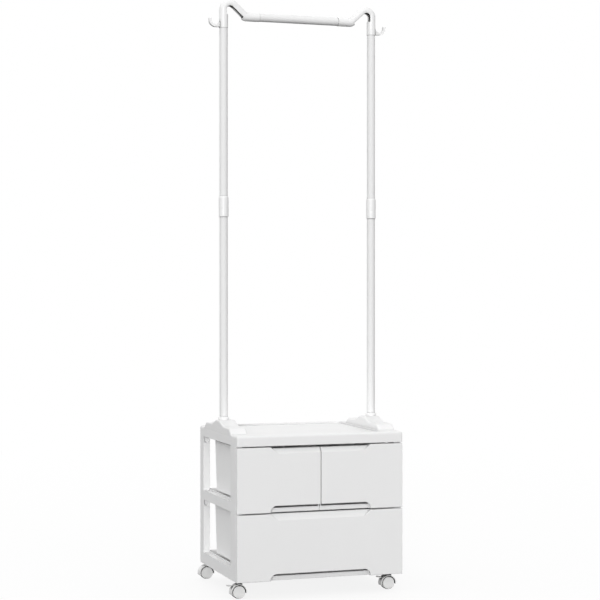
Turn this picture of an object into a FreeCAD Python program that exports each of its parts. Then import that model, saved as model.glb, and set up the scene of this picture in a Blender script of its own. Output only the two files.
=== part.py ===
"""Clothing rack with drawers.

A wheeled plastic chest with two half-width drawers over one full-width drawer carries two jointed
poles, gooseneck elbows with side hooks, and a hanging rail. Millimetres, +Z up, +X to the right,
the drawers open towards -Y. The origin is on the floor under the middle of the chest.
"""
import FreeCAD, Part
import math
import os
import types

import Sketcher
from FreeCAD import Vector

# Driving dimensions: name, value, meaning. Lengths in millimetres, angles in degrees.
SIZES = (
    ("chest_width", 500, "chest, side to side"),
    ("chest_depth", 390, "chest, front to back, with the drawer fronts"),
    ("caster_height", 50, "floor to the underside of the chest"),
    ("bottom_rail_height", 34, "side rail of the bottom deck"),
    ("lower_post_height", 159, "bottom deck to middle deck"),
    ("middle_rail_height", 28, "side rail of the middle deck"),
    ("upper_post_height", 161, "middle deck to cover"),
    ("skirt_height", 31, "skirt of the top cover"),
    ("side_rail_width", 20, "rails and posts, across the chest"),
    ("rear_rail_depth", 15, "rear rail of a deck"),
    ("moulded_wall", 3, "wall of the frame mouldings"),
    ("frame_corner", 5, "upright corners of decks and cover"),
    ("front_post_depth", 48, "front posts, front to back"),
    ("rear_post_depth", 40, "rear posts, front to back"),
    ("plug_height", 10, "plugs at both ends of a post"),
    ("plug_clearance", 0.2, "plug in its socket"),
    ("tongue_radius", 8.5, "snap tongue on a rear post, over its slit"),
    ("tongue_slit", 2.2, "slit round the snap tongue"),
    ("tongue_length", 11, "straight part of the snap tongue"),
    ("floor_rise", 10, "deck's underside to its floor"),
    ("floor_thickness", 3, "deck floors"),
    ("floor_rib", 2, "ribs under the deck floors"),
    ("rail_lip", 3, "lip on the inner edge of a side rail, its height"),
    ("runner_rise", 5, "runners over the side rails"),
    ("runner_setback", 45, "deck's front to the runners"),
    ("runner_width", 8, "runners on the deck floors"),
    ("runner_inset", 18, "drawer's side to its runner"),
    ("runner_length", 275, "runners, front to back"),
    ("runner_gap", 0.3, "drawer over its runner"),
    ("guide_rise", 10, "guide between the upper drawers, over the side rails"),
    ("guide_gap", 0.6, "upper drawer to the guide"),
    ("front_thickness", 17.5, "drawer fronts"),
    ("front_standoff", 0.5, "drawer fronts to the posts"),
    ("front_reveal", 3.6, "gaps over the drawer fronts"),
    ("front_middle_gap", 2.6, "gap between the two upper drawer fronts"),
    ("front_inset", 0.5, "drawer fronts inside the chest's sides"),
    ("front_skin", 3, "wall of a drawer front"),
    ("front_round", 1.5, "edges of a drawer front"),
    ("front_boss_radius", 6, "bosses behind a drawer front"),
    ("front_boss_inset", 60, "bosses, from the ends of a drawer front"),
    ("grip_half_width", 151, "finger grips, half their width"),
    ("grip_height", 19.5, "finger grip at the bottom edge"),
    ("grip_corner", 18, "upper corners of the finger grip"),
    ("scoop_height", 18, "sloping scoop at the top edge"),
    ("scoop_slant", 22, "run of the scoop's slanted ends"),
    ("finger_slot", 4, "slot over the scoops of the upper drawers"),
    ("grip_lip", 12.5, "lip behind the finger grip"),
    ("drawer_wall", 2.5, "drawer boxes"),
    ("drawer_depth", 293, "drawer boxes, front to back"),
    ("drawer_side_gap", 2.5, "drawer box to the posts"),
    ("drawer_draft", 3.5, "narrowing of a drawer box towards its bottom"),
    ("drawer_top_gap", 9, "drawer box under the deck or cover above"),
    ("drawer_corner", 12, "upright corners of a drawer box"),
    ("drawer_middle_gap", 4, "upper drawer box to the middle of the chest"),
    ("tray_depth", 5, "tray in the cover"),
    ("tray_margin", 13, "rim before and behind the tray"),
    ("tray_side_margin", 58, "chest's side to the tray"),
    ("tray_corner", 22, "corners of the tray"),
    ("cover_round", 8, "top edges of the cover"),
    ("seat_width", 50, "pole seats, across the chest"),
    ("seat_height", 30, "pole seat over the cover"),
    ("seat_top_half", 18, "pole seat, half of its flat top"),
    ("seat_step_half", 58, "pole seat, inner end of its shelf"),
    ("seat_step_height", 16.5, "pole seat, inner end of its shelf"),
    ("seat_shelf_half", 121, "pole seat, outer end of its shelf"),
    ("seat_shelf_height", 15, "pole seat, outer end of its shelf"),
    ("seat_foot_half", 140, "pole seat, half of its length"),
    ("seat_round", 12, "rounded steps of the pole seat"),
    ("seat_edge", 5, "upper edges of the pole seat"),
    ("socket_wall", 3, "pole socket in the cover"),
    ("pole_inset", 20, "pole axis from the chest's side"),
    ("pole_setback", 202, "pole axis from the chest's front"),
    ("tube_diameter", 24, "poles and hanging rail"),
    ("tube_wall", 1, "poles and hanging rail"),
    ("tube_clearance", 0.1, "tube in its socket or coupler, spigot in its tube"),
    ("collar_diameter", 32.5, "lip of the collar at the foot of a pole"),
    ("collar_foot", 3, "recessed foot under the collar's lip, its height"),
    ("collar_recess", 2, "recessed foot under the collar's lip, its depth"),
    ("collar_lip", 2.5, "lip of the collar, its height"),
    ("collar_height", 9.5, "collar at the foot of a pole"),
    ("collar_wall", 0.8, "upper edge of the collar"),
    ("coupler_level", 1085, "floor to the coupler"),
    ("coupler_length", 60, "coupler between two tubes"),
    ("coupler_diameter", 28.5, "coupler between two tubes"),
    ("coupler_taper", 5, "tapered top of the coupler"),
    ("coupler_joint", 24, "coupler's foot to its groove"),
    ("coupler_groove", 0.6, "depth and half the width of the coupler's groove"),
    ("coupler_stop", 2, "stop ring between the two tubes"),
    ("elbow_level", 1634, "floor to the foot of the elbow"),
    ("elbow_diameter", 26, "gooseneck elbow"),
    ("elbow_leg", 53, "upright leg of the elbow"),
    ("elbow_radius", 18, "bend over the top of the elbow"),
    ("elbow_slope", 42, "slope of the elbow's arm, below level"),
    ("elbow_foot_radius", 10, "bend from the slope to the rail"),
    ("elbow_reach", 107, "pole axis to the rail's end of the elbow"),
    ("rail_level", 1669, "floor to the hanging rail's axis"),
    ("channel_wall", 1.6, "wall of the elbow's open channel"),
    ("slot_half_width", 11.2, "slot on the hollow side of the elbow, half its width"),
    ("slot_drop", 14, "slot's lower end below the elbow's bend"),
    ("spigot_length", 32, "spigots of the elbow"),
    ("spigot_wall", 2, "spigots of the elbow"),
    ("hook_offset", 24.7, "pole axis to the middle of the side hook"),
    ("hook_level", 1655.3, "floor to the middle of the side hook"),
    ("hook_radius", 13, "inside of the side hook"),
    ("hook_thickness", 6.8, "side hook"),
    ("hook_tip", 6, "straight tip of the side hook"),
    ("hook_width", 12, "side hook, front to back"),
    ("hook_round", 2, "edges of the side hook's tip"),
    ("caster_inset_side", 23, "caster stem from the chest's side"),
    ("caster_inset_front", 25, "caster stem from the deck's front"),
    ("caster_inset_rear", 14, "caster stem from the chest's back"),
    ("caster_trail", 8, "axle behind the stem"),
    ("stem_radius", 3.5, "caster stem"),
    ("stem_insert", 20, "stem in its socket"),
    ("stem_foot", 24, "floor to the foot of the stem"),
    ("stem_flange_radius", 6.3, "collar of the stem under the deck"),
    ("stem_flange", 7, "collar of the stem under the deck, its height"),
    ("socket_clearance", 0.1, "stem in its socket"),
    ("socket_radius", 9, "stem socket under the deck"),
    ("swivel_clearance", 0.05, "stem in the hood's boss"),
    ("swivel_gap", 0.4, "hood's boss under the flange"),
    ("swivel_radius", 5.1, "hood's boss round the stem"),
    ("wheel_radius", 19, "twin wheels"),
    ("wheel_width", 7.5, "each wheel"),
    ("wheel_track", 11, "between the two wheels"),
    ("wheel_taper", 1.2, "fall of a wheel's tread towards its outer face"),
    ("wheel_shoulder", 1.0, "bevelled shoulder of a wheel"),
    ("wheel_rim", 3, "rim of a wheel"),
    ("wheel_disc", 2.6, "disc of a wheel"),
    ("wheel_dish", 0.9, "dished middle of a wheel"),
    ("wheel_hub", 6.5, "hub of a wheel"),
    ("axle_radius", 3, "axle"),
    ("axle_clearance", 0.05, "wheel on its axle"),
    ("axle_seat", 0.02, "axle in the hood"),
    ("axle_end_gap", 0.3, "axle's end to the bottom of the wheel's bore"),
    ("wheel_cap", 2, "wheel's outer wall over the axle's end"),
    ("hood_gap", 1.5, "tread of a wheel to the hood"),
    ("hood_wall", 2.2, "hood over the wheels"),
    ("hood_front_angle", -8, "leading edge of the hood, above level"),
    ("hood_rear_angle", 197, "trailing edge of the hood, from the leading side"),
    ("web_gap", 0.4, "hood's web to the wheels"),
    ("web_radius", 13, "lower part of the web, round the axle"),
    ("brake_pivot_radius", 17, "brake pivot from the axle"),
    ("brake_pivot_angle", 115, "brake pivot, from the leading side"),
    ("brake_hub", 3.2, "hub of the brake lever"),
    ("brake_pin_radius", 1.5, "pin of the brake lever"),
    ("brake_reach", 25, "brake pivot to the lever's tip"),
    ("brake_rise", 3, "lever's tip over its pivot"),
    ("brake_thickness", 3, "arm of the brake lever"),
    ("brake_width", 6, "arm of the brake lever"),
    ("brake_slot_gap", 0.4, "lever in the hood's slot"),
    ("brake_drop", 4, "slot below the lever's pivot"),
    ("brake_paddle_width", 16, "paddle of the brake lever"),
    ("brake_paddle_length", 11, "paddle of the brake lever"),
)

# Cuts run this far past a face that they open.
OVERCUT = 1.0

doc = FreeCAD.newDocument("clothing_rack")
sheet = doc.addObject("Spreadsheet::Sheet", "sizes")
for row, (alias, value, meaning) in enumerate(SIZES, start=1):
    sheet.set(f"A{row}", meaning)
    sheet.set(f"B{row}", str(value))
    sheet.setAlias(f"B{row}", alias)
doc.recompute()


class Size:
    """A number together with the sheet formula that gives it."""

    def __init__(self, value, formula):
        self.value = float(value)
        self.formula = formula

    @staticmethod
    def of(item):
        return item if isinstance(item, Size) else Size(item, f"({float(item)})")

    def __add__(self, other):
        other = Size.of(other)
        return Size(self.value + other.value, f"({self.formula} + {other.formula})")

    def __sub__(self, other):
        other = Size.of(other)
        return Size(self.value - other.value, f"({self.formula} - {other.formula})")

    def __mul__(self, other):
        other = Size.of(other)
        return Size(self.value * other.value, f"({self.formula} * {other.formula})")

    def __truediv__(self, other):
        other = Size.of(other)
        return Size(self.value / other.value, f"({self.formula} / {other.formula})")

    def __neg__(self):
        return self * -1

    def __radd__(self, other):
        return Size.of(other) + self

    def __rsub__(self, other):
        return Size.of(other) - self

    def __rmul__(self, other):
        return Size.of(other) * self


def sine(angle):
    return Size(math.sin(math.radians(angle.value)), f"sin({angle.formula} * 1 deg)")


def cosine(angle):
    return Size(math.cos(math.radians(angle.value)), f"cos({angle.formula} * 1 deg)")


def half_tangent(angle):
    return Size(math.tan(math.radians(angle.value / 2)), f"tan({angle.formula} / 2 * 1 deg)")


S = types.SimpleNamespace(**{alias: Size(sheet.get(alias), f"sizes.{alias}") for alias, _, _ in SIZES})


def bind(item, name, size):
    """Ties a property to its sheet formula."""
    item.setExpression(name, Size.of(size).formula)


# Outlines: corners tied to their coordinates, joined by lines or arcs.

class Arc:
    """The round stretch that leads to the next corner of an outline."""

    def __init__(self, radius, centre_x, centre_y, turns_left):
        self.radius = Size.of(radius)
        self.centre = Vector(Size.of(centre_x).value, Size.of(centre_y).value, 0)
        self.turns_left = turns_left


def corner(x, y, arc=None):
    return Size.of(x), Size.of(y), arc


def rectangle(x_low, x_high, y_low, y_high):
    return [corner(x_low, y_low), corner(x_high, y_low), corner(x_high, y_high), corner(x_low, y_high)]


def rounded(x_low, x_high, y_low, y_high, radius):
    """A rectangle whose four corners are quarter circles."""
    left, right = x_low + radius, x_high - radius
    low, high = y_low + radius, y_high - radius
    return [
        corner(left, y_low),
        corner(right, y_low, Arc(radius, right, low, True)),
        corner(x_high, low),
        corner(x_high, high, Arc(radius, right, high, True)),
        corner(right, y_high),
        corner(left, y_high, Arc(radius, left, high, True)),
        corner(x_low, high),
        corner(x_low, low, Arc(radius, left, low, True)),
    ]


def hold(sketch, constraint, size):
    number = sketch.addConstraint(constraint)
    bind(sketch, f"Constraints[{number}]", size)


def pin(sketch, index, end, x, y):
    hold(sketch, Sketcher.Constraint("DistanceX", -1, 1, index, end, x.value), x)
    hold(sketch, Sketcher.Constraint("DistanceY", -1, 1, index, end, y.value), y)


def add_stretch(sketch, start, end):
    """Adds the line or arc between two corners; returns its index and its point numbers at both corners."""
    first = Vector(start[0].value, start[1].value, 0)
    last = Vector(end[0].value, end[1].value, 0)
    arc = start[2]
    if arc is None:
        return sketch.addGeometry(Part.LineSegment(first, last), False), 1, 2
    angles = [math.atan2(p.y - arc.centre.y, p.x - arc.centre.x) for p in (first, last)]
    if not arc.turns_left:
        angles.reverse()
    if angles[1] <= angles[0]:
        angles[1] += 2 * math.pi
    circle = Part.Circle(arc.centre, Vector(0, 0, 1), arc.radius.value)
    index = sketch.addGeometry(Part.ArcOfCircle(circle, *angles), False)
    hold(sketch, Sketcher.Constraint("Radius", index, arc.radius.value), arc.radius)
    return (index, 1, 2) if arc.turns_left else (index, 2, 1)


def draw(sketch, corners, closed=True):
    """Draws an outline, or an open path, and ties every corner to its place."""
    count = len(corners) if closed else len(corners) - 1
    stretches = [add_stretch(sketch, corners[i], corners[(i + 1) % len(corners)]) for i in range(count)]
    for i, (index, begin, _) in enumerate(stretches):
        if closed or i:
            before, _, finish = stretches[i - 1]
            sketch.addConstraint(Sketcher.Constraint("Coincident", before, finish, index, begin))
        pin(sketch, index, begin, corners[i][0], corners[i][1])
    if not closed:
        index, _, finish = stretches[-1]
        pin(sketch, index, finish, corners[-1][0], corners[-1][1])


def draw_circle(sketch, x, y, radius):
    x, y, radius = Size.of(x), Size.of(y), Size.of(radius)
    centre = Vector(x.value, y.value, 0)
    index = sketch.addGeometry(Part.Circle(centre, Vector(0, 0, 1), radius.value), False)
    pin(sketch, index, 3, x, y)
    hold(sketch, Sketcher.Constraint("Radius", index, radius.value), radius)


class Ring:
    """A round outline."""

    def __init__(self, x, y, radius):
        self.place = (x, y, radius)


PLANES = {"x": "YZ_Plane", "y": "XZ_Plane", "z": "XY_Plane"}
pieces = []


class Piece:
    """One separate piece: a body whose sketches and features take their sizes from the sheet."""

    def __init__(self, label, at=None):
        self.body = doc.addObject("PartDesign::Body", label)
        self.body.Label = label
        for axis, size in zip("xyz", at or ()):
            bind(self.body, f"Placement.Base.{axis}", size)
        pieces.append(self.body)

    def sketch(self, axis, level, outlines, closed=True):
        """A sketch square to an axis; its own axes are Y Z, X Z or X Y in turn."""
        sketch = self.body.newObject("Sketcher::SketchObject", f"{self.body.Label}_sketch")
        plane = next(f for f in self.body.Origin.OriginFeatures if f.Role == PLANES[axis])
        sketch.AttachmentSupport = [(plane, "")]
        sketch.MapMode = "FlatFace"
        bind(sketch, "AttachmentOffset.Base.z", -Size.of(level) if axis == "y" else level)
        for outline in outlines:
            if isinstance(outline, Ring):
                draw_circle(sketch, *outline.place)
            else:
                draw(sketch, outline, closed)
        return sketch

    def feature(self, kind):
        return self.body.newObject(f"PartDesign::{kind}", f"{self.body.Label}_{kind.lower()}")

    def extrude(self, kind, axis, low, high, outlines):
        low, high = Size.of(low), Size.of(high)
        feature = self.feature(kind)
        feature.Profile = self.sketch(axis, high if axis == "y" else low, outlines)
        feature.Reversed = kind == "Pocket"
        bind(feature, "Length", high - low)
        self.body.Tip = feature

    def pad(self, axis, low, high, *outlines):
        self.extrude("Pad", axis, low, high, outlines)

    def cut(self, axis, low, high, *outlines):
        self.extrude("Pocket", axis, low, high, outlines)

    def turn(self, kind, axis, level, outline, spin_axis):
        """Turns an outline about one of its sketch's own axes."""
        feature = self.feature(kind)
        sketch = self.sketch(axis, level, [outline])
        feature.Profile = sketch
        feature.ReferenceAxis = (sketch, [spin_axis])
        feature.Angle = 360
        self.body.Tip = feature

    def loft(self, kind, sections):
        feature = self.feature(kind)
        sketches = [self.sketch("z", level, [outline]) for level, outline in sections]
        feature.Profile = sketches[0]
        feature.Sections = sketches[1:]
        feature.Ruled = True
        self.body.Tip = feature

    def pipe(self, kind, level, outline, path_level, path):
        """Sweeps a level outline along a path that lies square to Y."""
        feature = self.feature(kind)
        feature.Profile = self.sketch("z", level, [outline])
        spine = self.sketch("y", path_level, [path], closed=False)
        doc.recompute()
        feature.Spine = (spine, [f"Edge{i + 1}" for i in range(len(spine.Shape.Edges))])
        self.body.Tip = feature

    def round(self, radius, chosen):
        """Rounds the edges that the given test picks out."""
        doc.recompute()
        base = self.body.Tip
        names = [f"Edge{i}" for i, edge in enumerate(base.Shape.Edges, start=1) if chosen(edge)]
        if not names:
            raise RuntimeError(f"{self.body.Label}: no edge to round")
        feature = self.feature("Fillet")
        feature.Base = (base, names)
        bind(feature, "Radius", radius)
        self.body.Tip = feature


def lies_at(edge, axis, size):
    """True if every end and the middle of an edge are at one coordinate."""
    middle = edge.valueAt((edge.FirstParameter + edge.LastParameter) / 2)
    points = [vertex.Point for vertex in edge.Vertexes] + [middle]
    return all(abs(getattr(point, axis) - Size.of(size).value) < 1e-4 for point in points)


def runs_along(edge, axis):
    """True if an edge is straight and parallel to an axis."""
    if len(edge.Vertexes) != 2:
        return False
    reach = edge.Vertexes[1].Point - edge.Vertexes[0].Point
    return edge.Length > 0 and abs(abs(getattr(reach, axis)) - edge.Length) < 1e-6


# Levels and places that several pieces share.
half_width = S.chest_width / 2
front_face = -S.chest_depth / 2
rear_face = S.chest_depth / 2
front_back = front_face + S.front_thickness
deck_front = front_back + S.front_standoff
rail_inner = half_width - S.side_rail_width
bottom_base = S.caster_height
bottom_top = bottom_base + S.bottom_rail_height
middle_base = bottom_top + S.lower_post_height
middle_top = middle_base + S.middle_rail_height
cover_base = middle_top + S.upper_post_height
cover_top = cover_base + S.skirt_height
front_post = (deck_front, deck_front + S.front_post_depth)
rear_post = (rear_face - S.rear_post_depth, rear_face)
pole_x = half_width - S.pole_inset
pole_y = front_face + S.pole_setback
seat_top = cover_top + S.seat_height
tube_radius = S.tube_diameter / 2
caster_x = half_width - S.caster_inset_side
caster_ends = (deck_front + S.caster_inset_front, rear_face - S.caster_inset_rear)
drawer_outer = rail_inner - S.drawer_side_gap
drawer_foot = drawer_outer - S.drawer_draft
drawer_ride = S.runner_rise + S.runner_gap
runner_front = deck_front + S.runner_setback
runner_span = (runner_front, runner_front + S.runner_length)
SIDES = (("left", -1), ("right", 1))


def lanes(left, right):
    """The two runners under one drawer, between the sides of the drawer's foot."""
    return [(left + S.runner_inset, left + S.runner_inset + S.runner_width),
            (right - S.runner_inset - S.runner_width, right - S.runner_inset)]


def make_deck(label, base, top, runners):
    """A deck: hollow side and rear rails round a sunken floor with tall runners, open towards the front."""
    wall = S.moulded_wall
    floor = base + S.floor_rise
    floor_under = floor - S.floor_thickness
    well_back = rear_face - S.rear_rail_depth
    piece = Piece(label)
    piece.pad("z", base, top, rectangle(-half_width, half_width, deck_front, rear_face))
    piece.round(S.frame_corner, lambda edge: runs_along(edge, "z") and lies_at(edge, "y", rear_face))
    piece.cut("z", floor, top, rectangle(-rail_inner, rail_inner, deck_front - OVERCUT, well_back))
    inside = rail_inner - wall
    piece.cut("z", base, floor_under, rectangle(-inside, inside, deck_front + wall, well_back))
    piece.cut("z", base, top - wall, rectangle(-inside, inside, well_back + wall, rear_face - wall))
    hollow = (deck_front + wall, rear_face - wall)
    piece.cut("z", base, top - wall,
              rectangle(rail_inner + wall, half_width - wall, *hollow),
              rectangle(wall - half_width, -rail_inner - wall, *hollow))
    holes = []
    for low, high in (front_post, rear_post):
        holes.append(rectangle(rail_inner + wall, half_width - wall, low + wall, high - wall))
        holes.append(rectangle(wall - half_width, -rail_inner - wall, low + wall, high - wall))
    piece.cut("z", top - wall, top, *holes)
    ribs = [rectangle(-inside, inside, deck_front + step, deck_front + step + S.floor_rib)
            for step in (S.runner_length / 3, S.runner_length * 2 / 3, S.runner_length)]
    piece.pad("z", base + S.floor_rib, floor_under, *ribs)
    lip_span = (front_post[1] + S.plug_clearance, rear_post[0] - S.plug_clearance)
    piece.pad("z", top, top + S.rail_lip,
              rectangle(rail_inner, rail_inner + wall, *lip_span),
              rectangle(-rail_inner - wall, -rail_inner, *lip_span))
    piece.pad("z", floor, top + S.runner_rise, *[rectangle(a, b, *runner_span) for a, b in runners])
    return piece


def make_bottom_deck():
    deck = make_deck("bottom_deck", bottom_base, bottom_top, lanes(-drawer_foot, drawer_foot))
    places = [(side * caster_x, y) for _, side in SIDES for y in caster_ends]
    socket_top = bottom_base + S.stem_insert
    bore = S.stem_radius + S.socket_clearance
    deck.pad("z", bottom_base, socket_top + S.moulded_wall, *[Ring(x, y, S.socket_radius) for x, y in places])
    deck.cut("z", bottom_base, socket_top, *[Ring(x, y, bore) for x, y in places])


def make_middle_deck():
    inner_foot = S.drawer_middle_gap + S.drawer_draft
    runners = lanes(-drawer_foot, -inner_foot) + lanes(inner_foot, drawer_foot)
    deck = make_deck("middle_deck", middle_base, middle_top, runners)
    guide = inner_foot - S.guide_gap
    deck.pad("z", middle_base + S.floor_rise, middle_top + S.guide_rise,
             rectangle(-guide, guide, *runner_span))


def make_post(label, side, low, high, span, has_tongue):
    """A post: a channel open towards the drawers, with a plug at each end."""
    wall = S.moulded_wall
    near, far = span
    outer, inner = side * half_width, side * rail_inner
    piece = Piece(label)
    piece.pad("z", low, high, rectangle(outer, inner, near, far))
    if far is rear_post[1]:
        piece.round(S.frame_corner, lambda edge: runs_along(edge, "z")
                    and lies_at(edge, "y", far) and lies_at(edge, "x", outer))
    piece.cut("z", low + wall, high - wall,
              rectangle(outer - side * wall, inner - side * OVERCUT, near + wall, far - wall))
    gap = wall + S.plug_clearance
    plug = rectangle(outer - side * gap, inner + side * gap, near + gap, far - gap)
    piece.pad("z", high, high + S.plug_height, plug)
    piece.pad("z", low - S.plug_height, low, plug)
    if has_tongue:
        middle = (outer + inner) / 2
        level = high - S.tongue_length
        big, small = S.tongue_radius, S.tongue_radius - S.tongue_slit
        piece.cut("y", near, near + wall, [
            corner(middle - big, high),
            corner(middle - big, level, Arc(big, middle, level, True)),
            corner(middle, level - big, Arc(big, middle, level, True)),
            corner(middle + big, level),
            corner(middle + big, high),
            corner(middle + small, high),
            corner(middle + small, level, Arc(small, middle, level, False)),
            corner(middle, level - small, Arc(small, middle, level, False)),
            corner(middle - small, level),
            corner(middle - small, high),
        ])


def make_posts():
    for name, side in SIDES:
        for tier, low, high in (("lower", bottom_top, middle_base), ("upper", middle_top, cover_base)):
            make_post(f"{tier}_post_front_{name}", side, low, high, front_post, False)
            make_post(f"{tier}_post_rear_{name}", side, low, high, rear_post, True)


def seat_outline():
    """The stepped saddle of a pole seat, seen along X."""
    steps = ((S.seat_foot_half, 0), (S.seat_shelf_half, S.seat_shelf_height),
             (S.seat_step_half, S.seat_step_height), (S.seat_top_half, S.seat_height))
    front = [corner(pole_y - half, cover_top + rise) for half, rise in steps]
    back = [corner(pole_y + half, cover_top + rise) for half, rise in reversed(steps)]
    sunk = cover_top - S.tray_depth
    return ([corner(pole_y - S.seat_foot_half, sunk)] + front + back
            + [corner(pole_y + S.seat_foot_half, sunk)])


def seat_hollow():
    """The space under a pole seat, one wall inside its steps."""
    wall = S.moulded_wall
    roof = cover_top + S.seat_height - wall
    shelf = cover_top + S.seat_shelf_height - wall
    half_top, half_shelf = S.seat_step_half - wall, S.seat_shelf_half - wall
    base = cover_base
    return [
        corner(pole_y - half_shelf, base), corner(pole_y - half_shelf, shelf),
        corner(pole_y - half_top, shelf), corner(pole_y - S.seat_top_half, roof),
        corner(pole_y + S.seat_top_half, roof), corner(pole_y + half_top, shelf),
        corner(pole_y + half_shelf, shelf), corner(pole_y + half_shelf, base),
    ]


def make_top_cover():
    """The cover: a skirted lid with a shallow tray and a stepped seat for each pole."""
    wall = S.moulded_wall
    seat_inner = half_width - S.seat_width
    piece = Piece("top_cover")
    piece.pad("z", cover_base, cover_top, rectangle(-half_width, half_width, front_face, rear_face))
    piece.round(S.frame_corner, lambda edge: runs_along(edge, "z"))
    piece.round(S.cover_round, lambda edge: lies_at(edge, "z", cover_top))
    piece.pad("x", seat_inner, half_width, seat_outline())
    piece.pad("x", -half_width, -seat_inner, seat_outline())
    steps = [(cover_top + rise).value for rise in (S.seat_shelf_height, S.seat_step_height, S.seat_height)]
    piece.round(S.seat_round, lambda edge: runs_along(edge, "x")
                and any(lies_at(edge, "z", level) for level in steps))
    rim = [side * x for _, side in SIDES for x in (half_width, seat_inner)]
    piece.round(S.seat_edge, lambda edge: any(lies_at(edge, "x", x) for x in rim)
                and edge.BoundBox.ZMax > cover_top.value + S.seat_edge.value)
    tray_x = half_width - S.tray_side_margin
    tray_y = rear_face - S.tray_margin
    piece.cut("z", cover_top - S.tray_depth, cover_top + OVERCUT,
              rounded(-tray_x, tray_x, -tray_y, tray_y, S.tray_corner))
    inside_x, inside_y = half_width - wall, rear_face - wall
    ceiling = cover_top - S.tray_depth - wall
    piece.cut("z", cover_base, ceiling, rectangle(-inside_x, inside_x, -inside_y, inside_y))
    piece.cut("x", seat_inner + wall, inside_x, seat_hollow())
    piece.cut("x", -inside_x, -seat_inner - wall, seat_hollow())
    piece.pad("z", cover_base, ceiling,
              rectangle(rail_inner, rail_inner + wall, -inside_y, inside_y),
              rectangle(-rail_inner - wall, -rail_inner, -inside_y, inside_y))
    socket = tube_radius + S.tube_clearance
    places = [side * pole_x for _, side in SIDES]
    piece.pad("z", cover_base, seat_top - wall, *[Ring(x, pole_y, socket + S.socket_wall) for x in places])
    piece.cut("z", cover_base + wall, seat_top + OVERCUT, *[Ring(x, pole_y, socket) for x in places])


def make_drawer_box(label, left, right, base, top):
    """An open box whose sides and back lean outwards towards the top."""
    wall, draft = S.drawer_wall, S.drawer_draft
    front, back = front_back, front_back + S.drawer_depth
    piece = Piece(label)
    piece.loft("AdditiveLoft", [
        (base, rounded(left + draft, right - draft, front, back - draft, S.drawer_corner)),
        (top, rounded(left, right, front, back, S.drawer_corner)),
    ])
    lean, inner = draft + wall, S.drawer_corner - wall
    piece.loft("SubtractiveLoft", [
        (base + wall, rounded(left + lean, right - lean, front + wall, back - lean, inner)),
        (top, rounded(left + wall, right - wall, front + wall, back - wall, inner)),
    ])


def make_drawer_front(label, left, right, base, top):
    """A shell, open behind, with a finger grip and its lip at the lower edge and a sloping scoop above."""
    skin, half = S.front_skin, S.grip_half_width
    scoop_foot = top - S.scoop_height
    piece = Piece(label)
    piece.pad("y", front_face, front_back, rectangle(left, right, base, top))
    piece.round(S.front_round, lambda edge: lies_at(edge, "y", front_face))
    piece.cut("x", left + skin, right - skin, [
        corner(front_face + skin, base + skin),
        corner(front_back, base + skin),
        corner(front_back, top - S.finger_slot - skin),
        corner(front_face + skin, scoop_foot - skin),
    ])
    lip_left, lip_right = left, right
    lip_top = base + S.grip_lip
    webs = []
    if left.value < -half.value - skin.value:
        lip_left = -half - skin
        webs.append(rectangle(lip_left, -half, base, lip_top))
        piece.cut("y", front_face + skin, front_back,
                  rectangle(left + skin, lip_left, base + skin, top - skin))
    if right.value > half.value + skin.value:
        lip_right = half + skin
        webs.append(rectangle(half, lip_right, base, lip_top))
        piece.cut("y", front_face + skin, front_back,
                  rectangle(lip_right, right - skin, base + skin, top - skin))
    lip_face = front_back - skin
    piece.pad("y", front_face + skin, lip_face, *webs)
    piece.pad("y", lip_face, front_back, rectangle(lip_left, lip_right, base, lip_top))
    level = (base + top) / 2
    piece.pad("y", front_face + skin, front_back,
              Ring(left + S.front_boss_inset, level, S.front_boss_radius),
              Ring(right - S.front_boss_inset, level, S.front_boss_radius))
    inner, height = half - S.grip_corner, S.grip_height
    shoulder = base + height - S.grip_corner
    piece.cut("y", front_face - OVERCUT, lip_face, [
        corner(-half, base - OVERCUT),
        corner(half, base - OVERCUT),
        corner(half, shoulder, Arc(S.grip_corner, inner, shoulder, True)),
        corner(inner, base + height),
        corner(-inner, base + height, Arc(S.grip_corner, -inner, shoulder, True)),
        corner(-half, shoulder),
    ])
    slope = S.scoop_slant
    before = front_face - OVERCUT
    piece.loft("SubtractiveLoft", [
        (scoop_foot, rectangle(slope - half, half - slope, before, front_face)),
        (top, rectangle(-half, half, before, lip_face)),
    ])
    return piece


def cut_finger_slot(front, top):
    """Lowers the back of a scoop, so that fingers reach over the drawer front."""
    half, slot = S.grip_half_width, S.finger_slot
    run = S.scoop_slant * slot / S.scoop_height
    front.cut("y", front_face - OVERCUT, front_back, [
        corner(run - half, top - slot), corner(half - run, top - slot), corner(half, top), corner(-half, top),
    ])


def make_drawers():
    inset = half_width - S.front_inset
    middle = S.front_middle_gap / 2
    lower_top = middle_base - S.front_reveal
    upper_top = cover_base - S.front_reveal
    make_drawer_front("lower_drawer_front", -inset, inset, bottom_base, lower_top)
    for label, left, right in (("left", -inset, -middle), ("right", middle, inset)):
        front = make_drawer_front(f"upper_drawer_front_{label}", left, right, middle_base, upper_top)
        cut_finger_slot(front, upper_top)
    make_drawer_box("lower_drawer_box", -drawer_outer, drawer_outer,
                    bottom_top + drawer_ride, middle_base - S.drawer_top_gap)
    upper = (middle_top + drawer_ride, cover_base - S.drawer_top_gap)
    make_drawer_box("upper_drawer_box_left", -drawer_outer, -S.drawer_middle_gap, *upper)
    make_drawer_box("upper_drawer_box_right", S.drawer_middle_gap, drawer_outer, *upper)


def make_tube(label, axis, low, high, x, y):
    """A straight length of tube; x and y are its axis in the plane that it stands on."""
    piece = Piece(label)
    piece.pad(axis, low, high, Ring(x, y, tube_radius), Ring(x, y, tube_radius - S.tube_wall))


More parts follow.
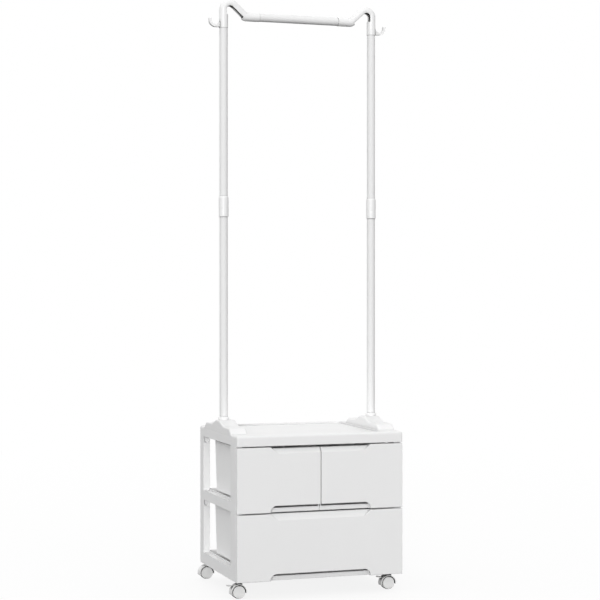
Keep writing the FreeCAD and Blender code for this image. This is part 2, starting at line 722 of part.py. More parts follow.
def make_collar(label, x):
    """The flared ring round a pole's foot, with a lip that stands off the seat."""
    bore = tube_radius + S.tube_clearance
    outer = S.collar_diameter / 2
    foot, height = S.collar_foot, S.collar_height
    piece = Piece(label, (x, pole_y, seat_top))
    piece.turn("Revolution", "y", 0, [
        corner(bore, 0), corner(outer - S.collar_recess, 0), corner(outer - S.collar_recess, foot),
        corner(outer, foot), corner(outer, foot + S.collar_lip),
        corner(bore + S.collar_wall, height), corner(bore, height),
    ], "V_Axis")


def make_coupler(label, x):
    """The sleeve that joins two tubes, with a stop ring inside and a groove outside."""
    bore = tube_radius + S.tube_clearance
    outer = S.coupler_diameter / 2
    length, notch = S.coupler_length, S.coupler_groove
    joint = S.coupler_joint
    stop_low, stop_high = (length - S.coupler_stop) / 2, (length + S.coupler_stop) / 2
    stop_radius = tube_radius - S.tube_wall
    piece = Piece(label, (x, pole_y, S.coupler_level))
    piece.turn("Revolution", "y", 0, [
        corner(bore, 0), corner(outer, 0), corner(outer, joint - notch), corner(outer - notch, joint),
        corner(outer, joint + notch), corner(outer, length - S.coupler_taper),
        corner(bore + S.collar_wall, length), corner(bore, length), corner(bore, stop_high),
        corner(stop_radius, stop_high), corner(stop_radius, stop_low), corner(bore, stop_low),
    ], "V_Axis")


def make_elbow(label, side):
    """A gooseneck: up, over the top, down a slope and level to the rail, open on its hollow side."""
    radius, bend, foot = S.elbow_diameter / 2, S.elbow_radius, S.elbow_foot_radius
    start = S.elbow_level + S.elbow_leg
    dip, drop = cosine(S.elbow_slope), sine(S.elbow_slope)

    def inward(distance):
        return side * (pole_x - distance)

    turns_left = side > 0
    crest_x = bend + bend * drop
    crest_z = start + bend * dip
    run = (crest_z - S.rail_level) / drop
    meet = crest_x + run * dip
    tangent = foot * half_tangent(S.elbow_slope)
    low_x, low_z = meet - tangent * dip, S.rail_level + tangent * drop
    level_x = meet + tangent
    over = Arc(bend, inward(bend), start, turns_left)
    under = Arc(foot, inward(level_x), S.rail_level + foot, not turns_left)
    piece = Piece(label)
    piece.pipe("AdditivePipe", S.elbow_level, Ring(side * pole_x, pole_y, radius), pole_y, [
        corner(inward(0), S.elbow_level), corner(inward(0), start, over),
        corner(inward(crest_x), crest_z), corner(inward(low_x), low_z, under),
        corner(inward(level_x), S.rail_level), corner(inward(S.elbow_reach), S.rail_level),
    ])
    root, tip = S.hook_radius, S.hook_radius + S.hook_thickness
    middle = -S.hook_offset
    hollow = Arc(root, inward(middle), S.hook_level, turns_left)
    piece.pad("y", pole_y - S.hook_width / 2, pole_y + S.hook_width / 2, [
        corner(inward(middle - root), S.hook_level + S.hook_tip),
        corner(inward(middle - tip), S.hook_level + S.hook_tip),
        corner(inward(middle - tip), S.hook_level, Arc(tip, inward(middle), S.hook_level, not turns_left)),
        corner(inward(middle), S.hook_level - tip),
        corner(inward(-root / 2), S.hook_level - tip),
        corner(inward(-root / 2), S.hook_level),
        corner(inward(middle + root), S.hook_level, hollow),
        corner(inward(middle), S.hook_level - root, hollow),
        corner(inward(middle - root), S.hook_level),
    ])
    piece.round(S.hook_round, lambda edge: lies_at(edge, "z", S.hook_level + S.hook_tip))
    hollow_foot = S.elbow_level + S.moulded_wall
    over_the_top = [corner(inward(0), start, over), corner(inward(crest_x), crest_z)]
    piece.pipe("SubtractivePipe", hollow_foot, Ring(side * pole_x, pole_y, radius - S.channel_wall), pole_y, [
        corner(inward(0), hollow_foot), *over_the_top, corner(inward(low_x), low_z, under),
        corner(inward(level_x), S.rail_level), corner(inward(S.elbow_reach - S.moulded_wall), S.rail_level),
    ])
    slot_foot, reach = start - S.slot_drop, S.elbow_diameter
    piece.cut("y", pole_y - S.slot_half_width, pole_y + S.slot_half_width, [
        corner(inward(0), slot_foot), *over_the_top, corner(inward(low_x), low_z),
        corner(inward(low_x - reach * drop), low_z - reach * dip), corner(inward(reach), slot_foot),
    ])
    spigot = tube_radius - S.tube_wall - S.tube_clearance
    piece.pad("z", S.elbow_level - S.spigot_length, S.elbow_level,
              Ring(side * pole_x, pole_y, spigot), Ring(side * pole_x, pole_y, spigot - S.spigot_wall))
    ends = [inward(S.elbow_reach), inward(S.elbow_reach + S.spigot_length)]
    ends.sort(key=lambda size: size.value)
    piece.pad("x", *ends, Ring(pole_y, S.rail_level, spigot),
              Ring(pole_y, S.rail_level, spigot - S.spigot_wall))


def make_rack():
    foot = cover_base + S.moulded_wall
    joint = S.coupler_level + S.coupler_length / 2
    stop = S.coupler_stop / 2
    for name, side in SIDES:
        x = side * pole_x
        make_collar(f"pole_collar_{name}", x)
        make_tube(f"lower_tube_{name}", "z", foot, joint - stop, x, pole_y)
        make_coupler(f"tube_coupler_{name}", x)
        make_tube(f"upper_tube_{name}", "z", joint + stop, S.elbow_level, x, pole_y)
        make_elbow(f"elbow_{name}", side)
    rail_half = pole_x - S.elbow_reach
    make_tube("hanging_rail", "x", -rail_half, rail_half, pole_y, S.rail_level)


def make_stem(label, place):
    """A caster's fixed stem, with the collar that bears on the deck."""
    shaft, flange = S.stem_radius, S.stem_flange_radius
    seat = bottom_base - S.stem_flange
    piece = Piece(label, (*place, 0))
    piece.turn("Revolution", "y", 0, [
        corner(0, S.stem_foot), corner(shaft, S.stem_foot), corner(shaft, seat), corner(flange, seat),
        corner(flange, bottom_base), corner(shaft, bottom_base),
        corner(shaft, bottom_base + S.stem_insert - S.socket_clearance),
        corner(0, bottom_base + S.stem_insert - S.socket_clearance),
    ], "V_Axis")


def polar(radius, angle):
    """A point about the axle, in the caster's own frame."""
    return radius * cosine(angle) - S.caster_trail, radius * sine(angle) + S.wheel_radius


def sweep(radius, turns_left):
    """A curve of the hood about the axle, from its leading to its trailing edge or back."""
    lead, trail = S.hood_front_angle, S.hood_rear_angle
    angles = [lead, (lead + trail) / 2, trail]
    if not turns_left:
        angles.reverse()
    arc = Arc(radius, -S.caster_trail, S.wheel_radius, turns_left)
    return [corner(*polar(radius, angle), arc) for angle in angles[:2]] + [corner(*polar(radius, angles[2]))]


def make_hood(label, place, has_brake):
    """The swivelling hood: a fender round both wheels, a web between them, a boss round the stem."""
    inner = S.wheel_radius + S.hood_gap
    outer = inner + S.hood_wall
    side = S.wheel_track / 2 + S.wheel_width
    web = S.wheel_track / 2 - S.web_gap
    boss_top = bottom_base - S.stem_flange - S.swivel_gap
    piece = Piece(label, (*place, 0))
    piece.pad("y", -side, side, sweep(outer, True) + sweep(inner, False))
    piece.pad("y", -web, web, sweep(outer, True) + [corner(-S.caster_trail, S.wheel_radius)])
    piece.pad("y", -web, web, Ring(-S.caster_trail, S.wheel_radius, S.web_radius))
    piece.pad("z", S.stem_foot - S.moulded_wall, boss_top, Ring(0, 0, S.swivel_radius))
    piece.cut("z", S.stem_foot - S.swivel_gap, boss_top + OVERCUT,
              Ring(0, 0, S.stem_radius + S.swivel_clearance))
    piece.cut("y", -web, web, Ring(-S.caster_trail, S.wheel_radius, S.axle_radius + S.axle_seat))
    if has_brake:
        x, z = polar(S.brake_pivot_radius, S.brake_pivot_angle)
        half = S.brake_width / 2 + S.brake_slot_gap
        reach = S.brake_hub + S.brake_slot_gap
        piece.cut("y", -half, half, rectangle(x - S.brake_reach, x + reach, z - S.brake_drop, z + reach))
        piece.cut("y", -web, web, Ring(x, z, S.brake_pin_radius + S.axle_seat))


def make_axle(label, place):
    half = S.wheel_track / 2 + S.wheel_width - S.wheel_cap - S.axle_end_gap
    piece = Piece(label, (*place, 0))
    piece.pad("y", -half, half, Ring(-S.caster_trail, S.wheel_radius, S.axle_radius))


def make_wheel(label, place, end):
    """One of a pair of wheels: a hollow rim with a tapered tread, a dished disc and a blind hub."""
    near, far = S.wheel_track / 2, S.wheel_track / 2 + S.wheel_width
    bore = S.axle_radius + S.axle_clearance
    tread, shoulder = S.wheel_radius, S.wheel_shoulder
    edge = tread - S.wheel_taper
    disc = far - S.wheel_disc
    blind = far - S.wheel_cap
    x, y = place
    piece = Piece(label, (x - S.caster_trail, y, S.wheel_radius))
    piece.turn("Revolution", "x", 0, [
        corner(end * near, bore), corner(end * near, S.wheel_hub), corner(end * disc, S.wheel_hub),
        corner(end * disc, tread - S.wheel_rim), corner(end * near, tread - S.wheel_rim),
        corner(end * near, tread), corner(end * (far - shoulder), edge), corner(end * far, edge - shoulder),
        corner(end * (far - S.wheel_dish), edge - shoulder - S.wheel_dish),
        corner(end * (far - S.wheel_dish), 0), corner(end * blind, 0), corner(end * blind, bore),
    ], "H_Axis")


def make_brake(label, place):
    """A foot lever on a front caster: a hub on a pin, an arm through the hood and a paddle."""
    x, z = polar(S.brake_pivot_radius, S.brake_pivot_angle)
    half = S.brake_thickness / 2
    tip_x, tip_z = x - S.brake_reach, z + S.brake_rise
    lever = Piece(f"brake_lever_{label}", (*place, 0))
    arm = S.brake_width / 2
    lever.pad("y", -arm, arm, Ring(x, z, S.brake_hub))
    lever.pad("y", -arm, arm, [corner(x, z - half), corner(x, z + half),
                               corner(tip_x, tip_z + half), corner(tip_x, tip_z - half)])
    root_x = tip_x + S.brake_paddle_length
    root_z = tip_z - S.brake_rise * S.brake_paddle_length / S.brake_reach
    paddle = S.brake_paddle_width / 2
    lever.pad("y", -paddle, paddle, [corner(root_x, root_z - half), corner(root_x, root_z + half),
                                     corner(tip_x, tip_z + half), corner(tip_x, tip_z - half)])
    lever.round(half * 2 / 3, lambda edge: lies_at(edge, "x", tip_x) and runs_along(edge, "z"))
    lever.cut("y", -arm, arm, Ring(x, z, S.brake_pin_radius + S.axle_clearance))
    web = S.wheel_track / 2 - S.web_gap
    pivot = Piece(f"brake_pin_{label}", (*place, 0))
    pivot.pad("y", -web, web, Ring(x, z, S.brake_pin_radius))


def make_casters():
    for name, side in SIDES:
        for end, y in zip(("front", "rear"), caster_ends):
            label, place = f"{end}_{name}", (side * caster_x, y)
            make_stem(f"caster_stem_{label}", place)
            make_hood(f"caster_hood_{label}", place, end == "front")
            make_axle(f"caster_axle_{label}", place)
            make_wheel(f"caster_wheel_{label}_outer", place, -1)
            make_wheel(f"caster_wheel_{label}_inner", place, 1)
            if end == "front":
                make_brake(label, place)


def check_and_write():
    """Refuses to write anything unless every object is sound."""
    doc.recompute()
    faults = [item.Name for item in doc.Objects if {"Invalid", "Error"} & set(item.State)]
    for body in pieces:
        if body.Shape.isNull() or not body.Shape.isValid() or len(body.Shape.Solids) != 1:
            faults.append(body.Label)
    if faults:
        raise RuntimeError("unsound: " + ", ".join(faults))
    os.makedirs("parts", exist_ok=True)
    for body in pieces:
        body.Shape.exportStep(f"parts/{body.Label}.step")
    print(len(pieces), "pieces written")


make_bottom_deck()
make_middle_deck()
make_posts()
make_top_cover()
make_drawers()
make_rack()
make_casters()
check_and_write()
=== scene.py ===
"""Finishes, light and camera for a wheeled clothing rack with drawers."""
import math
from typing import NamedTuple

import bmesh
import bpy
from bpy.props import FloatProperty, FloatVectorProperty, PointerProperty
from mathutils import Euler, Matrix, Vector

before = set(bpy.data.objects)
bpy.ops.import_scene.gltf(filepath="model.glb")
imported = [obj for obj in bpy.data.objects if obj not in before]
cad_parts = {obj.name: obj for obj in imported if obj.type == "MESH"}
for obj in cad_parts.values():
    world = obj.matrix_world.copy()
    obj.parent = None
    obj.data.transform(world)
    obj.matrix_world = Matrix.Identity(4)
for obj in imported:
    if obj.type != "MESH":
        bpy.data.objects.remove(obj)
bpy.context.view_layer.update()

bl_info = {
    "name": "Clothing rack finishes",
    "version": (1, 0, 0),
    "blender": (4, 5, 0),
    "location": "View3D > Sidebar > Rack",
    "description": "Gives a clothing rack with drawers its finishes, and sets up its stage",
    "category": "Material",
}

# Colours of the stage.
WHITE = (1.0, 1.0, 1.0, 1.0)
PAPER = (0.97, 0.97, 0.97, 1.0)

# How far apart the walls of a hollow may stand and still get painted shade, in metres.
PAINTED_SHADE_REACH = 0.022

# How far from a fitting's mouth the tube in it still gets painted shade, in metres.
PAINTED_SEAM_SHADE_REACH = 0.006

# Half of the floor's side, and how far from the object it has gone fully white, in metres.
FLOOR_HALF = 30.0
FLOOR_REACH = 4.0

# Depth of the tubes' peel and draw lines, of the pins' rings and of the paper's fibres, in metres.
PEEL_DEPTH = 0.0002
RING_DEPTH = 0.0001
FIBRE_DEPTH = 0.0002

# Depth of the plastic's spark texture, as a share of its grain.
SPARK_DEPTH = 0.5

# The level that a noise texture wavers round.
NOISE_MIDDLE = 0.5

# Direction of a lamp that stands behind the object.
BEHIND = math.pi

# Width of the camera's sensor in millimetres, and how far it sees in metres.
SENSOR_WIDTH = 36.0
SIGHT = 100.0


class Moulding(NamedTuple):
    """How one moulded finish differs from the others."""

    roughness: float
    # Shares of the grain and edge sizes in the settings.
    grain: float = 1.0
    edge: float = 1.0
    # What is left of the colour where shade is painted, deep in a hollow.
    painted_shade: float = 0.8
    # How open a place is that gets the full painted shade, and how open one is that has the full colour.
    hollow: tuple = (0.45, 0.85)
    # False where gaps to other pieces get painted shade too.
    own: bool = True


CHEST = Moulding(roughness=0.46)
DRAWER_FRONT = Moulding(roughness=0.42)
DRAWER_BOX = Moulding(roughness=0.52, grain=1.6)
# Elbows get deep painted shade in their channels; wheels and hoods get it also in the gaps under the chest
# and beside their neighbours.
ELBOW = Moulding(roughness=0.36, grain=0.8, edge=0.6, painted_shade=0.04, hollow=(0.74, 0.93))
SLEEVE = Moulding(roughness=0.36, grain=0.8, edge=0.6, painted_shade=1.0)
WHEEL = Moulding(roughness=0.40, grain=0.7, edge=0.5, painted_shade=0.06, hollow=(0.3, 0.66), own=False)
HOOD = Moulding(roughness=0.40, grain=0.7, edge=0.5, painted_shade=0.03, hollow=(0.5, 0.86), own=False)


# Shader maths

class Field:
    """A socket that can be used in sums; each operation adds one Math node."""

    def __init__(self, paint, socket):
        self.paint = paint
        self.socket = socket

    def combine(self, operation, first, second):
        return self.paint.field("ShaderNodeMath", "Value", {"operation": operation}, {0: first, 1: second})

    def __add__(self, other):
        return self.combine("ADD", self, other)

    def __radd__(self, other):
        return self.combine("ADD", other, self)

    def __sub__(self, other):
        return self.combine("SUBTRACT", self, other)

    def __rsub__(self, other):
        return self.combine("SUBTRACT", other, self)

    def __mul__(self, other):
        return self.combine("MULTIPLY", self, other)

    def __rmul__(self, other):
        return self.combine("MULTIPLY", other, self)


class Paint:
    """A node tree under construction, for a material or for the world."""

    # A Mix node has sockets for each kind of data; these are the places of those for colours.
    MIX_FACTOR = 0
    MIX_FIRST = 6
    MIX_SECOND = 7
    MIX_RESULT = 2

    def __init__(self, owner):
        owner.use_nodes = True
        self.tree = owner.node_tree
        self.tree.nodes.clear()

    def node(self, kind, settings=None, sockets=None):
        """Adds a node: first its settings, then the values or links of its sockets."""
        node = self.tree.nodes.new(kind)
        for name, value in (settings or {}).items():
            if name == "stops":
                self.set_stops(node.color_ramp, value)
            else:
                setattr(node, name, value)
        for key, value in (sockets or {}).items():
            socket = node.inputs[key]
            if isinstance(value, Field):
                self.tree.links.new(value.socket, socket)
            else:
                socket.default_value = value
        return node

    @staticmethod
    def set_stops(ramp, stops):
        """Sets the two grey stops of a ramp."""
        for element, (place, level) in zip(ramp.elements, stops):
            element.position = place
            element.color = (level, level, level, 1.0)

    def field(self, kind, output, settings=None, sockets=None):
        """Adds a node and gives one of its outputs."""
        return Field(self, self.node(kind, settings, sockets).outputs[output])

    def place(self):
        """Object coordinates."""
        return self.field("ShaderNodeTexCoord", "Object")

    def stretched(self, scale):
        """Object coordinates for a pattern that is longer in some directions than in others."""
        return self.field("ShaderNodeMapping", "Vector", None, {"Vector": self.place(), "Scale": scale})

    def noise(self, place, scale, detail=2.0, roughness=0.5):
        return self.field("ShaderNodeTexNoise", "Fac", None, {
            "Vector": place, "Scale": scale, "Detail": detail, "Roughness": roughness})

    def ramp(self, value, start, end, low=0.0, high=1.0):
        """low up to start, high from end on, and an even rise between them."""
        settings = {"stops": ((start, low), (end, high))}
        return self.field("ShaderNodeValToRGB", "Color", settings, {"Fac": value})

    def mix(self, factor, first, second):
        """Mixes two colours."""
        settings = {"data_type": "RGBA", "blend_type": "MIX"}
        sockets = {self.MIX_FACTOR: factor, self.MIX_FIRST: first, self.MIX_SECOND: second}
        return self.field("ShaderNodeMix", self.MIX_RESULT, settings, sockets)

    def mix_shaders(self, factor, first, second):
        return self.field("ShaderNodeMixShader", "Shader", None, {0: factor, 1: first, 2: second})

    def openness(self, reach, own):
        """1 on open faces, towards 0 deep in slots and channels."""
        settings = {"only_local": own, "samples": 8}
        return self.field("ShaderNodeAmbientOcclusion", "AO", settings, {"Distance": reach})

    def rounded_edges(self, radius):
        return self.field("ShaderNodeBevel", "Normal", {"samples": 6}, {"Radius": radius})

    def bump(self, height, depth, strength, normal=None):
        sockets = {"Height": height, "Distance": depth, "Strength": strength}
        if normal is not None:
            sockets["Normal"] = normal
        return self.field("ShaderNodeBump", "Normal", None, sockets)

    def principled(self, sockets):
        return self.field("ShaderNodeBsdfPrincipled", "BSDF", None, sockets)

    def surface(self, shader, output="ShaderNodeOutputMaterial"):
        self.node(output, None, {"Surface": shader})


def new_paint(name):
    """A new material and the paint for it."""
    material = bpy.data.materials.new(name)
    return material, Paint(material)


def shade(colour, factor):
    """A colour made lighter or darker, with full alpha."""
    return tuple(min(1.0, channel * factor) for channel in colour[:3]) + (1.0,)


# Finishes

def moulded_plastic(name, colour, grain, edge, moulding):
    """Injection-moulded plastic: fine spark texture, soft flow clouds, rubbed patches, and shade painted
    into its hollows and, for some pieces, into gaps to their neighbours.
    """
    light, dark, specked = shade(colour, 1.012), shade(colour, 0.985), shade(colour, 0.86)
    speck_strength = 0.05
    spark_dulls = 0.10
    rub_polishes = 0.07
    grain = grain * moulding.grain
    full_painted_shade, full_colour = moulding.hollow
    material, paint = new_paint(name)
    place = paint.place()
    spark = paint.noise(place, scale=1.0 / grain, detail=3.0, roughness=0.6)
    flow = paint.noise(paint.stretched((1.0, 1.0, 0.45)), scale=7.0, detail=3.0, roughness=0.55)
    patches = paint.noise(place, scale=38.0, detail=4.0, roughness=0.62)
    rubbed = paint.ramp(patches, start=0.45, end=0.72)
    speck = paint.ramp(paint.noise(place, scale=640.0, detail=1.0), start=0.70, end=0.80)
    tone = paint.mix(flow, dark, light)
    tone = paint.mix(speck * speck_strength, tone, specked)
    # Painted shade: the colour is darkened where ambient occlusion finds a hollow or a nearby piece.
    unshaded = paint.ramp(paint.openness(PAINTED_SHADE_REACH, moulding.own), start=full_painted_shade, end=full_colour)
    tone = paint.mix(unshaded, shade(colour, moulding.painted_shade), tone)
    edges = paint.rounded_edges(edge * moulding.edge)
    shader = paint.principled({
        "Base Color": tone,
        "Roughness": moulding.roughness + spark_dulls * (spark - NOISE_MIDDLE) - rub_polishes * rubbed,
        "IOR": 1.49,
        "Specular IOR Level": 0.3,
        "Normal": paint.bump(spark, grain * SPARK_DEPTH, strength=0.12, normal=edges),
    })
    paint.surface(shader)
    return material


def coated_tube(name, colour, along):
    """White coating on steel tube: faint orange peel, draw lines along it and shade painted where it enters
    its fittings.
    """
    light, dark, painted_seam_shade = shade(colour, 1.01), shade(colour, 0.985), shade(colour, 0.3)
    peel_share = 0.7
    roughness = 0.44
    lines_dull = 0.10
    clouds_dull = 0.06
    drawn_out = tuple(0.02 if axis == along else 1.0 for axis in "xyz")
    material, paint = new_paint(name)
    peel = paint.noise(paint.place(), scale=420.0)
    drawn = paint.noise(paint.stretched(drawn_out), scale=900.0, roughness=0.6)
    cloud = paint.noise(paint.place(), scale=11.0)
    # Painted shade: the coating is darkened close to the mouths of the fittings and other pieces.
    clear = paint.ramp(paint.openness(PAINTED_SEAM_SHADE_REACH, own=False), start=0.55, end=0.95)
    tone = paint.mix(clear, painted_seam_shade, paint.mix(cloud, dark, light))
    height = peel * peel_share + drawn * (1.0 - peel_share)
    shader = paint.principled({
        "Base Color": tone,
        "Roughness": roughness + lines_dull * (drawn - NOISE_MIDDLE) + clouds_dull * cloud,
        "IOR": 1.5,
        "Specular IOR Level": 0.08,
        "Normal": paint.bump(height, PEEL_DEPTH, strength=0.10),
    })
    paint.surface(shader)
    return material


def bare_steel(name, colour):
    """Turned steel pins: fine rings round the pin, a few dull spots and nearly black shade painted where
    neighbouring pieces stand close.
    """
    # dark is the colour of the shade painted near neighbouring pieces.
    bright, spotted, dark = shade(colour, 1.0), shade(colour, 0.8), shade(colour, 0.03)
    roughness = 0.28
    rings_dull = 0.14
    spots_dull = 0.15
    material, paint = new_paint(name)
    rings = paint.noise(paint.stretched((1.0, 60.0, 60.0)), scale=60.0, roughness=0.6)
    spots = paint.noise(paint.place(), scale=260.0, detail=3.0, roughness=0.6)
    dull = paint.ramp(spots, start=0.5, end=0.7)
    # Painted shade: the steel turns nearly black where ambient occlusion finds nearby pieces.
    clear = paint.ramp(paint.openness(PAINTED_SHADE_REACH, own=False), start=0.8, end=1.0)
    shader = paint.principled({
        "Base Color": paint.mix(clear, dark, paint.mix(dull, bright, spotted)),
        "Roughness": roughness + rings_dull * rings + spots_dull * dull,
        "Metallic": 1.0,
        "Normal": paint.bump(rings, RING_DEPTH, strength=0.15),
    })
    paint.surface(shader)
    return material


def nodes_named(*words):
    """The frame's solids whose names hold any of the given words."""
    found = [name for name in sorted(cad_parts) if any(word in name for word in words)]
    if not found:
        raise ValueError("no solid of the frame is named after " + " or ".join(words))
    return found


def dress(names, material):
    """Puts a finish on solids of the frame."""
    for name in names:
        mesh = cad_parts[name].data
        mesh.materials.clear()
        mesh.materials.append(material)


# Settings

class RackFinishSettings(bpy.types.PropertyGroup):
    """Colours and textures of the rack's own pieces."""

    chest_colour: FloatVectorProperty(
        name="Chest plastic", description="Colour of decks, posts, cover and drawer fronts",
        subtype="COLOR", size=3, min=0.0, max=1.0, default=(0.82, 0.82, 0.82))
    box_colour: FloatVectorProperty(
        name="Drawer box plastic", description="Colour of the drawers behind their fronts",
        subtype="COLOR", size=3, min=0.0, max=1.0, default=(0.87, 0.87, 0.87))
    fitting_colour: FloatVectorProperty(
        name="Fitting plastic", description="Colour of elbows, couplers and collars",
        subtype="COLOR", size=3, min=0.0, max=1.0, default=(0.83, 0.83, 0.83))
    tube_colour: FloatVectorProperty(
        name="Tube coating", description="Colour of the poles and the hanging rail",
        subtype="COLOR", size=3, min=0.0, max=1.0, default=(0.79, 0.79, 0.79))
    caster_colour: FloatVectorProperty(
        name="Caster plastic", description="Colour of the wheels, hoods and brake levers",
        subtype="COLOR", size=3, min=0.0, max=1.0, default=(0.83, 0.83, 0.825))
    steel_colour: FloatVectorProperty(
        name="Pins", description="Colour of stems, axles and pins",
        subtype="COLOR", size=3, min=0.0, max=1.0, default=(0.55, 0.55, 0.56))
    grain: FloatProperty(
        name="Grain", description="Size of the spark texture on the plastic",
        subtype="DISTANCE", min=0.0001, max=0.005, default=0.0006)
    edge: FloatProperty(
        name="Edge softness", description="Radius of the moulded edges in the shading",
        subtype="DISTANCE", min=0.0, max=0.005, default=0.0009)
    front_edge: FloatProperty(
        name="Front softness", description="Radius of the drawer fronts' edges in the shading",
        subtype="DISTANCE", min=0.0, max=0.005, default=0.0026)


class RackStageSettings(bpy.types.PropertyGroup):
    """Camera, light and floor."""

    camera_place: FloatVectorProperty(
        name="Camera", description="Where the camera stands",
        subtype="TRANSLATION", size=3, default=(-1.5864, -4.6410, 0.8933))
    camera_aim: FloatVectorProperty(
        name="Aim", description="Direction in which the camera looks",
        subtype="DIRECTION", size=3, default=(0.3239, 0.9460, -0.0106))
    lens: FloatProperty(
        name="Lens", description="Focal length of the camera",
        unit="CAMERA", min=10.0, max=300.0, default=99.6)
    dome: FloatProperty(
        name="Dome light", description="Strength of the even light from above",
        min=0.0, max=3.0, default=0.75)
    key: FloatProperty(
        name="Key light", description="Strength of the soft light from the front left, a little above",
        min=0.0, max=10.0, default=2.25)
    key_elevation: FloatProperty(
        name="Key height", description="How high the key light stands",
        subtype="ANGLE", min=0.0, max=0.5 * math.pi, default=0.1)
    key_azimuth: FloatProperty(
        name="Key side", description="How far the key light stands to the left of the front",
        subtype="ANGLE", min=-math.pi, max=math.pi, default=0.42)
    key_spread: FloatProperty(
        name="Key width", description="Width of the key light as an angle",
        subtype="ANGLE", min=0.0, max=math.pi, default=0.4)
    back: FloatProperty(
        name="Back light", description="Strength of the soft light from behind and above",
        min=0.0, max=10.0, default=0.6)
    back_elevation: FloatProperty(
        name="Back height", description="How high the back light stands",
        subtype="ANGLE", min=0.0, max=0.5 * math.pi, default=0.7)
    back_spread: FloatProperty(
        name="Back width", description="Width of the back light as an angle",
        subtype="ANGLE", min=0.0, max=math.pi, default=1.2)
    floor_bounce: FloatProperty(
        name="Floor bounce", description="How much light the floor throws back up",
        subtype="FACTOR", min=0.0, max=1.0, default=0.04)
    floor_glow: FloatProperty(
        name="Floor white", description="How far the floor at the object is washed out to white",
        subtype="FACTOR", min=0.0, max=1.0, default=0.86)


# Pieces

class RACK_OT_finish_chest(bpy.types.Operator):
    """Finish the decks, posts and cover of the chest"""

    bl_idname = "rack.finish_chest"
    bl_label = "Finish chest"

    def execute(self, context):
        settings = context.scene.rack_finish
        plastic = moulded_plastic("chest_plastic", settings.chest_colour, settings.grain,
                                  settings.edge, CHEST)
        dress(nodes_named("deck", "post", "top_cover"), plastic)
        return {"FINISHED"}


class RACK_OT_finish_drawers(bpy.types.Operator):
    """Finish the drawer boxes and their fronts"""

    bl_idname = "rack.finish_drawers"
    bl_label = "Finish drawers"

    def execute(self, context):
        settings = context.scene.rack_finish
        front = moulded_plastic("drawer_front_plastic", settings.chest_colour, settings.grain,
                                settings.front_edge, DRAWER_FRONT)
        dress(nodes_named("drawer_front"), front)
        box = moulded_plastic("drawer_box_plastic", settings.box_colour, settings.grain,
                              settings.edge, DRAWER_BOX)
        dress(nodes_named("drawer_box"), box)
        return {"FINISHED"}


class RACK_OT_finish_poles(bpy.types.Operator):
    """Finish the tubes, the hanging rail and their fittings"""

    bl_idname = "rack.finish_poles"
    bl_label = "Finish poles"

    def execute(self, context):
        settings = context.scene.rack_finish
        pole = coated_tube("pole_coating", settings.tube_colour, along="z")
        dress(nodes_named("lower_tube", "upper_tube"), pole)
        rail = coated_tube("rail_coating", settings.tube_colour, along="x")
        dress(nodes_named("hanging_rail"), rail)
        elbow = moulded_plastic("elbow_plastic", settings.fitting_colour, settings.grain,
                                settings.edge, ELBOW)
        dress(nodes_named("elbow"), elbow)
        sleeve = moulded_plastic("sleeve_plastic", settings.fitting_colour, settings.grain,
                                 settings.edge, SLEEVE)
        dress(nodes_named("coupler", "collar"), sleeve)
        return {"FINISHED"}


class RACK_OT_finish_casters(bpy.types.Operator):
    """Finish the casters and their brakes"""

    bl_idname = "rack.finish_casters"
    bl_label = "Finish casters"

    def execute(self, context):
        settings = context.scene.rack_finish
        wheel = moulded_plastic("wheel_plastic", settings.caster_colour, settings.grain,
                                settings.edge, WHEEL)
        dress(nodes_named("caster_wheel"), wheel)
        hood = moulded_plastic("hood_plastic", settings.caster_colour, settings.grain,
                               settings.edge, HOOD)
        dress(nodes_named("caster_hood", "brake_lever"), hood)
        steel = bare_steel("pin_steel", settings.steel_colour)
        dress(nodes_named("caster_stem", "caster_axle", "brake_pin"), steel)
        return {"FINISHED"}


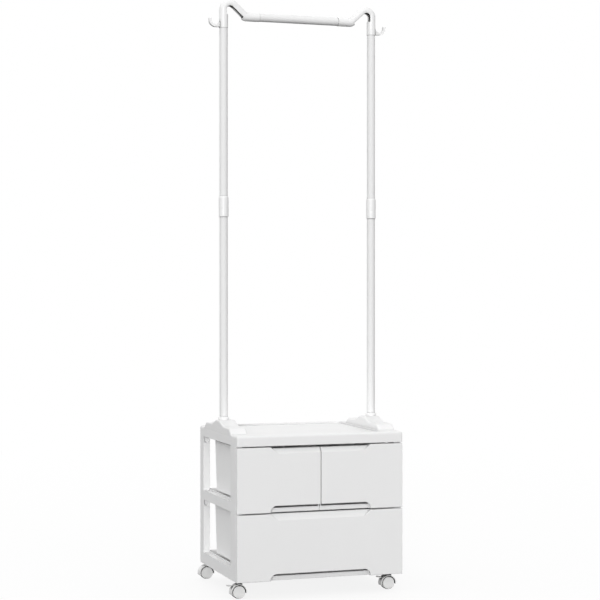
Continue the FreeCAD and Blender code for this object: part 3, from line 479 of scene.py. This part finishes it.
class RACK_OT_build_stage(bpy.types.Operator):
    """Set up the floor, the light and the camera"""

    bl_idname = "rack.build_stage"
    bl_label = "Build stage"

    def execute(self, context):
        settings = context.scene.rack_stage
        self.add_floor(context, settings)
        self.light_world(context, settings)
        self.add_lamp(context, "key_light", settings.key, settings.key_elevation,
                      settings.key_azimuth, settings.key_spread)
        self.add_lamp(context, "back_light", settings.back, settings.back_elevation,
                      BEHIND, settings.back_spread)
        self.add_camera(context, settings)
        context.scene.view_settings.view_transform = "Standard"
        return {"FINISHED"}

    @staticmethod
    def seen(paint):
        """1 for rays that show the surroundings themselves: camera, mirror and glass rays."""
        rays = paint.node("ShaderNodeLightPath")
        camera, mirror, glass = (Field(paint, rays.outputs[name]) for name in (
            "Is Camera Ray", "Is Glossy Ray", "Is Transmission Ray"))
        return camera + mirror + glass

    def floor_paper(self, settings):
        """Pale paper that keeps the object's shadow and is washed out to white further away."""
        material, paint = new_paint("floor_paper")
        fibre = paint.bump(paint.noise(paint.place(), scale=900.0), FIBRE_DEPTH, strength=0.05)
        bounce = shade(WHITE, settings.floor_bounce)
        dim = paint.field("ShaderNodeBsdfDiffuse", "BSDF", None, {"Color": bounce, "Normal": fibre})
        paper = paint.field("ShaderNodeBsdfDiffuse", "BSDF", None, {"Color": PAPER, "Normal": fibre})
        glow = paint.field("ShaderNodeEmission", "Emission", None, {"Color": WHITE, "Strength": 1.0})
        away = paint.field("ShaderNodeVectorMath", "Value", {"operation": "LENGTH"}, {0: paint.place()})
        wash = paint.ramp(away * (1.0 / FLOOR_REACH), start=0.15, end=1.0, low=settings.floor_glow)
        pale = paint.mix_shaders(wash, paper, glow)
        paint.surface(paint.mix_shaders(self.seen(paint), dim, pale))
        return material

    def add_floor(self, context, settings):
        mesh = bpy.data.meshes.new("floor")
        shape = bmesh.new()
        bmesh.ops.create_grid(shape, x_segments=1, y_segments=1, size=FLOOR_HALF)
        shape.to_mesh(mesh)
        shape.free()
        mesh.materials.append(self.floor_paper(settings))
        floor = bpy.data.objects.new("floor", mesh)
        context.scene.collection.objects.link(floor)

    def light_world(self, context, settings):
        """An even dome that looks white and lights the object at the dome's strength."""
        world = bpy.data.worlds.new("studio")
        context.scene.world = world
        paint = Paint(world)
        strength = settings.dome + self.seen(paint) * (1.0 - settings.dome)
        background = paint.field("ShaderNodeBackground", "Background", None, {
            "Color": WHITE, "Strength": strength})
        paint.surface(background, "ShaderNodeOutputWorld")

    @staticmethod
    def add_lamp(context, name, strength, elevation, azimuth, spread):
        """A wide far lamp; azimuth is counted from the front towards the left."""
        lamp = bpy.data.lights.new(name, "SUN")
        lamp.energy = strength
        lamp.angle = spread
        holder = bpy.data.objects.new(name, lamp)
        turn = Euler((0.5 * math.pi - elevation, 0.0, -azimuth))
        holder.matrix_world = turn.to_matrix().to_4x4()
        context.scene.collection.objects.link(holder)

    @staticmethod
    def add_camera(context, settings):
        data = bpy.data.cameras.new("view")
        data.sensor_width = SENSOR_WIDTH
        data.lens = settings.lens
        data.clip_end = SIGHT
        camera = bpy.data.objects.new("view", data)
        turn = Vector(settings.camera_aim).to_track_quat("-Z", "Y").to_matrix().to_4x4()
        camera.matrix_world = Matrix.Translation(Vector(settings.camera_place)) @ turn
        context.scene.collection.objects.link(camera)
        context.scene.camera = camera


class RACK_PT_panel(bpy.types.Panel):
    """Finishes and stage of the rack"""

    bl_label = "Clothing rack"
    bl_idname = "RACK_PT_panel"
    bl_space_type = "VIEW_3D"
    bl_region_type = "UI"
    bl_category = "Rack"

    def draw(self, context):
        layout = self.layout
        finish = context.scene.rack_finish
        for name in RackFinishSettings.__annotations__:
            layout.prop(finish, name)
        for operator in (RACK_OT_finish_chest, RACK_OT_finish_drawers, RACK_OT_finish_poles,
                         RACK_OT_finish_casters):
            layout.operator(operator.bl_idname)
        stage = context.scene.rack_stage
        for name in RackStageSettings.__annotations__:
            layout.prop(stage, name)
        layout.operator(RACK_OT_build_stage.bl_idname)


CLASSES = (
    RackFinishSettings,
    RackStageSettings,
    RACK_OT_finish_chest,
    RACK_OT_finish_drawers,
    RACK_OT_finish_poles,
    RACK_OT_finish_casters,
    RACK_OT_build_stage,
    RACK_PT_panel,
)


def register():
    for item in CLASSES:
        bpy.utils.register_class(item)
    bpy.types.Scene.rack_finish = PointerProperty(type=RackFinishSettings)
    bpy.types.Scene.rack_stage = PointerProperty(type=RackStageSettings)


def unregister():
    del bpy.types.Scene.rack_stage
    del bpy.types.Scene.rack_finish
    for item in reversed(CLASSES):
        bpy.utils.unregister_class(item)


def main():
    register()
    bpy.ops.rack.finish_chest()
    bpy.ops.rack.finish_drawers()
    bpy.ops.rack.finish_poles()
    bpy.ops.rack.finish_casters()
    bpy.ops.rack.build_stage()


if __name__ == "__main__":
    main()
